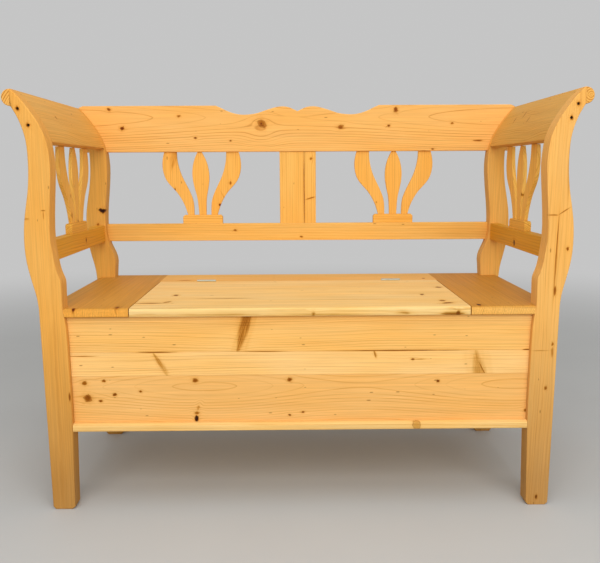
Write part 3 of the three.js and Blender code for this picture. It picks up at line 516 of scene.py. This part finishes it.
# The pith and the knots of each strip
STRIPS = {"left": ((-150, 290), [GLUE_LINE]),
          "right": ((160, 280), [(768, 36, 4, 4, 0, 0.3), (662, 35, 14, 2.2, 75, 0.35), GLUE_LINE])}
for number, (side, (pith, knots)) in enumerate(STRIPS.items()):
    strip = f"stile_{side}_strip"
    pine = waxed_pine(f"waxed pine of the stile's {side} strip", "zxy", pith, 5.0, early="f0b85f",
                      late="c8841c", seed=31.0 + number, knots=knots, face=225)
    shaped = eased(strip, STILE_EDGE_RADIUS, lambda way, a, b, normals:
                   abs(way.z) > PARALLEL and abs(a.x - STILE_SEAM) > SAME_PLACE)
    finished(shaped, pine, "bench", "pine", strip)

# Back splats
# Two tulips like those of the ends, each of three fretsawn petals and a base block,
# glued in between the two back rails.
PETAL_KNOTS = {
    "left": [(704, -183, 5, 3, 0, 0.3), (645, -213, 4, 3, 0, 0.5), (687, -334, 5, 2, 0, 0.45),
             (772, -333, 36, 9, 14, 0.05), (655, -196, 34, 2, -28, 0.05)],
    "right": [(650, 215, 3, 2, 0, 0.15)],
}
for number, (side, knots) in enumerate(PETAL_KNOTS.items()):
    pine = waxed_pine(f"waxed pine of the {side} back splat", "zxy", (140 - 280 * number, 300), 5.0,
                      early="f2b75b", late="c4801a", seed=37.0 + number, face=228, knots=knots)
    for part in ("first_petal", "middle_petal", "last_petal"):
        petal = f"{side}_back_splat_{part}"
        shaped = eased(petal, EASED_EDGE_RADIUS, fretsawn(petal, 1, ("foot", "top")))
        finished(shaped, pine, "bench", "pine", petal)
    block = f"{side}_back_splat_block"
    pine = waxed_pine(f"waxed pine of the {side} back splat's block", "xzy", (520, 300), 5.0,
                      early="f2b75b", late="c4801a", seed=39.0 + number)
    shaped = eased(block, EASED_EDGE_RADIUS, fretsawn(block, 1, ("foot",)))
    finished(shaped, pine, "bench", "pine", block)

# Chest floor
# One wide pine board that closes the chest from below. Its front edge is rounded
# over and stands forward, so that it shows under the front as a pale moulding.


def as_sawn(way, a, b, normals):
    """No edge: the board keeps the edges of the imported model."""
    return False


pine = waxed_pine("waxed pine of the chest floor", "xyz", (-320, 120), 4.0, early="f1c780",
                  late="d09028", seed=41.0, knots=[(253, -242, 9, 8, 0, 0.05)], face=188)
shaped = eased("chest_floor", EASED_EDGE_RADIUS, as_sawn)
finished(shaped, pine, "bench", "pale_pine", "chest_floor")

# Chest front
# Three pine boards glued edge to edge and sanded flush, so that only their knots
# and rings stop at the joints. The upper joint has opened to a thin dark line.
# The open joint, drawn as long thin knots on both boards
OPEN_JOINT = [(-309, 352, 48, 1.6, 0, 0.64), (-76, 352, 58, 1.2, 0, 0.35),
              (218, 352, 168, 1.4, 0, 0.55), (490, 352, 10, 1.6, 0, 0.64)]
FRONT_BOARDS = {
    "lower": {"early": "f2bc72", "pith": (275, -190), "ring": 4.6, "start": 34.65,
              "swell": (7.5, 128.0, 676.0), "drift": 0.6, "uneven_years": 0.15, "contrast": 0.5, "knots": [
        (-226, 215, 5, 3.5, 0, 0.3), (-223, 227, 6, 3, 70, 0.05), (492, 215, 3, 4, 0, 0.3),
        (-467, 284, 6, 5, 0, 0.35), (-462, 250, 8, 8, 0, 0.4), (-425, 289, 4, 3, 0, 0.4),
        (-434, 244, 4, 3, 0, 0.5), (-403, 258, 4.5, 3.5, 0, 0.5), (-347, 265, 3.5, 2.5, 0, 0.4),
        (-228, 289, 6, 5, 0, 0.4), (-23, 289, 5, 4.5, 0, 0.45), (299, 283, 3.5, 3, 0, 0.6),
        (-227, 203, 4, 9, 5, 0.95), (-24, 209, 3, 2, 0, 0.7), (5, 215, 3, 2, 0, 0.5)]},
    "middle": {"early": "fdce87", "pith": (480, -130), "ring": 3.9, "swell": (2.0, 0.0, 900.0), "knots": [
        (-306, 332, 24, 5, -60, 0.22), (-296, 316, 24, 6, -62, 0.03), (243, 332, 4, 2, 0, 0.6),
        (258, 332, 17, 1.0, 0, 0.25),
        (388, 299, 58, 18, 101, 0.2), (393, 312, 20, 1.6, 118, 0.45), (161, 345, 10, 2.6, -74, 0.3),
        (-470, 344, 30, 1.1, 0, 0.4), *OPEN_JOINT]},
    "upper": {"early": "f9c475", "pith": (260, -130), "ring": 3.7, "swell": (2.5, -100.0, 800.0), "knots": [
        (-118, 412, 74, 11, 74, 0.36), (-112, 440, 40, 11, 76, 0.2), *OPEN_JOINT]},
}
for number, (level, grown) in enumerate(FRONT_BOARDS.items()):
    front = f"{level}_front_board"
    pine = waxed_pine(f"waxed pine of the {level} front board", "xzy", late="c48014",
                      seed=43.0 + number, face=-230, taper=0.0, flecks=0.25, **grown)
    finished(eased(front, EASED_EDGE_RADIUS, as_sawn), pine, "bench", "pine", front)

# Chest ends and back
# Plain pine panels let in between the posts, planed and waxed like the rest. They
# are less carefully chosen, because they are little seen.
PANELS = {"left_chest_end": ("yzx", (300, -440)), "right_chest_end": ("yzx", (330, 430)),
          "chest_back": ("xzy", (320, 150))}  # the axes of the grain, and the pith
for number, (panel, (grain, pith)) in enumerate(PANELS.items()):
    pine = waxed_pine(f"waxed pine of the {panel.replace('_', ' ')}", grain, pith, 4.5,
                      early="ecc083", late="c4924f", seed=47.0 + number, swell=(5.0, 40.0, 620.0))
    finished(eased(panel, EASED_EDGE_RADIUS, as_sawn), pine, "bench", "plain_pine", panel)

# Fixed seat boards and rear seat strip
# A darker board at each end of the seat is notched round the posts. A paler strip
# behind the lid carries the hinges.
LID_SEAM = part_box("right_seat_board")[0][0]  # where the boards face the lid, along X
SEAT_NOTCH = 0.5012  # where the ends of the front edge meet the posts
NOTCH_HALF = 0.0006  # edges nearer than this to the notch belong to it
SEAT_FRONT = -0.23  # edges further forward belong to the rounded front
SEAT_END_RADIUS = 0.005
SEAM_SHARE = 0.24  # of that radius, for the edges against the lid
THIN_EDGE_RADIUS = 0.0008


def seat_edge(way, a, b, normals):
    """The rounded end of the front edge, and the slightly eased edges against the lid."""
    if all(abs(abs(end.x) - SEAT_NOTCH) < NOTCH_HALF and end.y < -POST_INSIDE for end in (a, b)):
        return 1 if abs(way.z) < PARALLEL or a.y < SEAT_FRONT else 0
    at_lid = abs(way.y) > PARALLEL and abs(abs(a.x) - LID_SEAM) < SAME_PLACE
    return SEAM_SHARE if at_lid else 0


# The colours of the early wood and of the end grain, the pith and the knots of each board. The end grain's
# light tone on the rounded front ends is partly painted highlight.
SEAT_BOARDS = {
    "left": ("cb933f", "f0ac4c", (-620, 432), [(-239, -479, 6, 4, 0, 0.6), (-228, -389, 11, 5, 0, 0.35)]),
    "right": ("c68c39", "f2b860", (590, 400), [(-224, 384, 9, 5, 0, 0.8)]),
}
for number, (side, (early, end_tone, pith, knots)) in enumerate(SEAT_BOARDS.items()):
    board = f"{side}_seat_board"
    pine = waxed_pine(f"waxed pine of the {side} seat board", "yxz", pith, 3.2, early=early,
                      late="a0661a", seed=53.0 + number, knots=knots, face=450, knot_depth=7,
                      contrast=0.45, streaks=0.5, end_grain=1.0, end_tone=end_tone)
    finished(eased(board, SEAT_END_RADIUS, seat_edge), pine, "bench", "deep_pine", board)
pine = waxed_pine("waxed pine of the rear seat strip", "xyz", (40, 360), 4.5, early="ebb562",
                  late="bf8a42", seed=57.0, face=450, streaks=0.5,
                  knots=[(-301, 142, 20, 5, 6, 0.25), (334, 151, 4, 5, 0, 0.4)])
shaped = eased("rear_seat_strip", THIN_EDGE_RADIUS, edges_along(0))
finished(shaped, pine, "bench", "pale_pine", "rear_seat_strip")

# Lid and its battens
# The lid is one pale pine board with a rounded front edge. Two battens screwed
# across its underside keep it flat.
BATTEN_EDGE_RADIUS = 0.0015
LID_REAR = 0.1  # edges further back belong to the rear of the lid
pine = waxed_pine("waxed pine of the lid", "xyz", (-30, 350), 5.0, early="f1cc89",
                  late="cf9434", seed=59.0, face=450, knot_depth=6, drift=4.0, contrast=0.8, streaks=0.6,
                  knots=[(335, -243, 7, 5, 0, 0.55, 435), (325, -243, 26, 7, 0, 0.55, 434),
                         (220, -243, 22, 2, 0, 0.35, 437), (60, -243, 160, 1.6, 0, 0.2, 435),
                         (-180, -243, 120, 1.4, 0, 0.15, 436), (28, -243, 5, 2.5, 0, 0.3, 434),
                         (-288, -84, 6, 9, 0, 0.5), (285, -94, 4, 8, 0, 0.65), (344, 5, 8, 7, 0, 0.5),
                         (316, -173, 7, 7, 0, 0.4), (322, -201, 14, 7, 20, 0.45),
                         (-328, -182, 42, 5, 2, 0.5), (-294, -170, 16, 5, 60, 0.3),
                         (-170, -130, 70, 4, 0, 0.25), (120, -150, 90, 3, 0, 0.15)])
shaped = eased("lid", THIN_EDGE_RADIUS, lambda way, a, b, normals:
               abs(way.y) > PARALLEL or a.y > LID_REAR)
finished(shaped, pine, "lid", "pale_pine", "lid")
for number, side in enumerate(("left", "right")):
    batten = f"{side}_lid_batten"
    pine = waxed_pine(f"waxed pine of the {side} lid batten", "yxz", (60 * number, 480), 4.5,
                      early="ecc083", late="c4924f", seed=61.0 + number)
    shaped = eased(batten, BATTEN_EDGE_RADIUS, lambda way, a, b, normals: True)
    finished(shaped, pine, "lid", "plain_pine", batten)

# Hinges
# Two pressed steel butt hinges, zinc plated. Their leaves are sunk in the edges of
# the lid and the rear strip, so only the knuckles show above the seat.


def plated_steel(name, dull, bright, roughness):
    """Steel with a thin plating, slightly cloudy."""
    material = bpy.data.materials.new(name)
    material.use_nodes = True
    tree = material.node_tree
    node = partial(add, tree)
    surface = tree.nodes["Principled BSDF"]
    place = node("ShaderNodeTexCoord", out="Object")
    cloud = node(NOISE, {"Vector": place, "Scale": 400.0, "Detail": 3.0})
    tone = node(MIX, {0: cloud, 6: colour(dull), 7: colour(bright)}, 2, data_type="RGBA")
    tree.links.new(tone, surface.inputs["Base Color"])
    tree.links.new(node(MATHS, (cloud, 0.15, roughness), operation="MULTIPLY_ADD"),
                   surface.inputs["Roughness"])
    surface.inputs["Metallic"].default_value = 1.0
    return material


zinc = plated_steel("zinc plated steel", "a4a698", "bdbfb2", 0.5)
for side in ("left", "right"):
    for part in ("hinge_fixed_leaf", "hinge_lid_leaf", "hinge_pin"):
        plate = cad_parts[f"{side}_{part}"]
        plate.data.materials.clear()
        plate.data.materials.append(zinc)

# Hinge and batten screws
# Countersunk slotted screws of plated steel, three in each hinge leaf and three in
# each batten. They show when the lid is open, or from below.
SHANK, HEAD_HEIGHT, TIP = 0.5, 0.45, 0.15  # radii and height in shares of the head's radius
SLOT_LENGTH, SLOT_WIDTH = 3.0, 0.25  # in the same shares
OVERLAP = 0.8  # of the head's height, where the shaft starts


def screw_tree():
    """Two rows of countersunk screws, each slot turned its own way."""
    tree = bpy.data.node_groups.new("two rows of screws", "GeometryNodeTree")
    for name, kind in {"First": "Vector", "Next row": "Vector", "Next screw": "Vector",
                       "Screws in a row": "Int", "Turn": "Float", "Head radius": "Float",
                       "Length": "Float", "Metal": "Material"}.items():
        tree.interface.new_socket(name, in_out="INPUT", socket_type="NodeSocket" + kind)
    tree.interface.new_socket("Screws", in_out="OUTPUT", socket_type="NodeSocketGeometry")
    node = partial(add, tree)
    given = node("NodeGroupInput").node.outputs
    shank = node(MATHS, (given["Head radius"], SHANK), operation="MULTIPLY")
    tip = node(MATHS, (given["Head radius"], TIP), operation="MULTIPLY")
    head_height = node(MATHS, (given["Head radius"], HEAD_HEIGHT), operation="MULTIPLY")
    head = node("GeometryNodeMeshCone", {"Vertices": 24, "Radius Top": shank, "Depth": head_height,
                                         "Radius Bottom": given["Head radius"]})
    shaft = node("GeometryNodeMeshCone", {"Vertices": 12, "Radius Bottom": shank, "Depth": given["Length"],
                                          "Radius Top": tip})
    below = node(MATHS, (head_height, OVERLAP), operation="MULTIPLY")
    below = node("ShaderNodeCombineXYZ", (0.0, 0.0, below))
    shaft = node("GeometryNodeTransform", {"Geometry": shaft, "Translation": below})
    whole = node("GeometryNodeMeshBoolean", {"Mesh 2": head}, operation="UNION", solver="EXACT")
    tree.links.new(shaft, whole.node.inputs["Mesh 2"])
    length = node(MATHS, (given["Head radius"], SLOT_LENGTH), operation="MULTIPLY")
    width = node(MATHS, (given["Head radius"], SLOT_WIDTH), operation="MULTIPLY")
    slot = node("GeometryNodeMeshCube", {"Size": node("ShaderNodeCombineXYZ", (length, width, width))})
    screw = node("GeometryNodeMeshBoolean", {"Mesh 1": whole, "Mesh 2": slot}, operation="DIFFERENCE",
                 solver="EXACT")
    rows = node("GeometryNodeMeshLine", {"Count": 2, "Start Location": given["First"],
                                         "Offset": given["Next row"]})
    row = node("GeometryNodeMeshLine", {"Count": given["Screws in a row"], "Offset": given["Next screw"]})
    places = node("GeometryNodeInstanceOnPoints", {"Points": rows, "Instance": row})
    places = node("GeometryNodeRealizeInstances", (places,))
    spin = node("FunctionNodeRandomValue", {"Min": 0.0, "Max": math.pi, "Seed": 4}, data_type="FLOAT")
    turned = node("ShaderNodeCombineXYZ", (given["Turn"], spin, 0.0))
    screws = node("GeometryNodeInstanceOnPoints", {"Points": places, "Instance": screw,
                                                   "Rotation": turned})
    screws = node("GeometryNodeRealizeInstances", (screws,))
    screws = node("GeometryNodeSetMaterial", {"Geometry": screws, "Material": given["Metal"]})
    node("NodeGroupOutput", (screws,))
    return tree


SCREWS = screw_tree()
LEAF_PROUD = 0.0001  # of the heads over a hinge leaf
BATTEN_PROUD = 0.0006  # of the heads over a batten, so that no wood fills their slots
LEAF_GAP = 0.0003  # between the two leaves of a closed hinge
LEAF_SCREW_HEIGHT = 0.4415  # above the floor
HINGE_SCREWS = {"Screws in a row": 3, "Next screw": (0.0165, 0, 0), "Head radius": 0.0032, "Length": 0.013}
BATTEN_SCREWS = {"Screws in a row": 3, "Next screw": (0, 0.1, 0), "Head radius": 0.004, "Length": 0.028}
hinge_low, hinge_high = (Vector(corner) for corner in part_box("left_hinge_fixed_leaf"))
batten_low, batten_high = (Vector(corner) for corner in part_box("left_lid_batten"))
hinge_middle, batten_middle = (hinge_low + hinge_high) / 2, (batten_low + batten_high) / 2
facing = Vector((0, LEAF_GAP / 2 - LEAF_PROUD, 0))
leaf_screws = Vector((*hinge_middle.xy, LEAF_SCREW_HEIGHT))
# The body that carries them, their middle screw, the turn about X and the sizes
ROWS = {
    "hinge_strip_screws": ("bench", leaf_screws + facing, -math.pi / 2, HINGE_SCREWS),
    "hinge_lid_screws": ("lid", leaf_screws - facing, math.pi / 2, HINGE_SCREWS),
    "batten_screws": ("lid", Vector((*batten_middle.xy, batten_low.z - BATTEN_PROUD)), 0.0, BATTEN_SCREWS),
}
for name, (body, middle, turn, sizes) in ROWS.items():
    holder = bpy.data.objects.new(name + "_holder", bpy.data.meshes.new(name + "_holder"))
    bpy.context.scene.collection.objects.link(holder)
    modifier = holder.modifiers.new("screws", "NODES")
    modifier.node_group = SCREWS
    values = {"First": middle - Vector(sizes["Next screw"]), "Next row": (-2 * middle.x, 0, 0),
              "Turn": turn, "Metal": zinc, **sizes}
    for socket in SCREWS.interface.items_tree:
        if socket.in_out == "INPUT":
            modifier[socket.identifier] = values[socket.name]
    depsgraph = bpy.context.evaluated_depsgraph_get()
    piece = bpy.data.objects.new(name, bpy.data.meshes.new_from_object(holder.evaluated_get(depsgraph)))
    bpy.context.scene.collection.objects.link(piece)
    bpy.data.objects.remove(holder)
    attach(piece, body)

# Screws in the post tops
# Dark steel wood screws sit deep in open holes in the front and rear faces of the
# posts, two to a post, where they hold the arm panels and the top rail.
dark_steel = plated_steel("blackened steel", "2a221e", "3a302a", 0.45)
for side in ("left", "right"):
    for row in ("front", "rear"):
        for level in ("upper", "lower"):
            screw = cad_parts[f"{side}_{row}_{level}_screw"]
            screw.data.materials.clear()
            screw.data.materials.append(dark_steel)

# Studio
# A plain pale floor that runs out into an even pale surround. A wide soft box
# in front and a smaller one above the seat give a soft light from above.
FLOOR_RADIUS = 14.0
FLOOR_FADES = (1.3, 4.0)  # from the bench to where the floor has the surround's tone
SURROUND_LIGHT = 0.41
SURROUND_TONE = 0.56  # what the camera and reflections see of it
shape = bmesh.new()
bmesh.ops.create_circle(shape, cap_ends=True, radius=FLOOR_RADIUS, segments=96)
mesh = bpy.data.meshes.new("floor")
shape.to_mesh(mesh)
shape.free()
ground = bpy.data.objects.new("floor", mesh)
bpy.context.scene.collection.objects.link(ground)
paint = bpy.data.materials.new("pale floor paint")
paint.use_nodes = True
tree = paint.node_tree
surface = tree.nodes["Principled BSDF"]
surface.inputs["Roughness"].default_value = 0.8
place = add(tree, "ShaderNodeTexCoord", out="Object")
cloud = add(tree, NOISE, {"Vector": place, "Scale": 3.0, "Detail": 3.0})
tone = add(tree, MIX, {0: cloud, 6: colour("bcbcba"), 7: colour("c2c3c1")}, 2, data_type="RGBA")
tree.links.new(tone, surface.inputs["Base Color"])
away = add(tree, RANGE, (add(tree, VECTOR, (place,), "Value", operation="LENGTH"), *FLOOR_FADES),
           interpolation_type="SMOOTHSTEP")
rays = add(tree, "ShaderNodeLightPath").node.outputs
seen = add(tree, MATHS, (rays["Is Camera Ray"], rays["Is Glossy Ray"]), operation="MAXIMUM")
seen = add(tree, MATHS, (seen, rays["Is Transmission Ray"]), operation="MAXIMUM")
glow = add(tree, "ShaderNodeEmission", {"Color": (1, 1, 1, 1), "Strength": SURROUND_TONE})
faded = add(tree, "ShaderNodeMixShader", (add(tree, MATHS, (away, seen), operation="MULTIPLY"),
                                          surface.outputs["BSDF"], glow))
tree.links.new(faded, tree.nodes["Material Output"].inputs["Surface"])
ground.data.materials.append(paint)

world = bpy.data.worlds.new("studio")
bpy.context.scene.world = world
world.use_nodes = True
tree = world.node_tree
rays = add(tree, "ShaderNodeLightPath").node.outputs
seen = add(tree, MATHS, (rays["Is Camera Ray"], rays["Is Glossy Ray"]), operation="MAXIMUM")
seen = add(tree, MATHS, (seen, rays["Is Transmission Ray"]), operation="MAXIMUM")
background = tree.nodes["Background"]
background.inputs["Color"].default_value = (1, 1, 1, 1)
tree.links.new(add(tree, RANGE, (seen, 0.0, 1.0, SURROUND_LIGHT, SURROUND_TONE)),
               background.inputs["Strength"])

# Each lamp's place, what it is aimed at, its width and height, and its power in watts
LAMPS = {
    "front soft box": ((0.2, -3.4, 2.3), (0, 0, 0.5), (5.0, 2.4), 105),
    "top soft box": ((0, -0.9, 3.0), (0, 0, 0.45), (2.0, 2.0), 27),
}
for name, (place, target, size, power) in LAMPS.items():
    lamp = bpy.data.lights.new(name, "AREA")
    lamp.shape = "RECTANGLE"
    lamp.size, lamp.size_y = size
    lamp.energy = power
    box = bpy.data.objects.new(name, lamp)
    box.location = place
    box.rotation_euler = (Vector(place) - Vector(target)).to_track_quat("Z", "Y").to_euler()
    box.visible_camera = False
    bpy.context.scene.collection.objects.link(box)

# Camera
# It stands where the photograph was taken from: low and close in front of the
# bench, turned slightly down.
CAMERA_PLACE = (-0.0150, -1.6957, 0.7357)
CAMERA_YAW, CAMERA_PITCH, CAMERA_ROLL = 0.0102, 0.1569, -0.0051
ahead = Vector((math.sin(CAMERA_YAW) * math.cos(CAMERA_PITCH),
                math.cos(CAMERA_YAW) * math.cos(CAMERA_PITCH), -math.sin(CAMERA_PITCH)))
level = Vector((math.cos(CAMERA_YAW), -math.sin(CAMERA_YAW), 0))
upright = level.cross(ahead)
right = level * math.cos(CAMERA_ROLL) + upright * math.sin(CAMERA_ROLL)
up = upright * math.cos(CAMERA_ROLL) - level * math.sin(CAMERA_ROLL)
lens = bpy.data.cameras.new("camera")
lens.sensor_width = 36.0
lens.lens = 42.0  # 700 pixels in a frame 600 pixels wide
camera = bpy.data.objects.new("camera", lens)
turn = Matrix((right, up, -ahead)).transposed().to_4x4()
camera.matrix_world = Matrix.Translation(CAMERA_PLACE) @ turn
bpy.context.scene.collection.objects.link(camera)
bpy.context.scene.camera = camera
bpy.context.scene.view_settings.view_transform = "Standard"
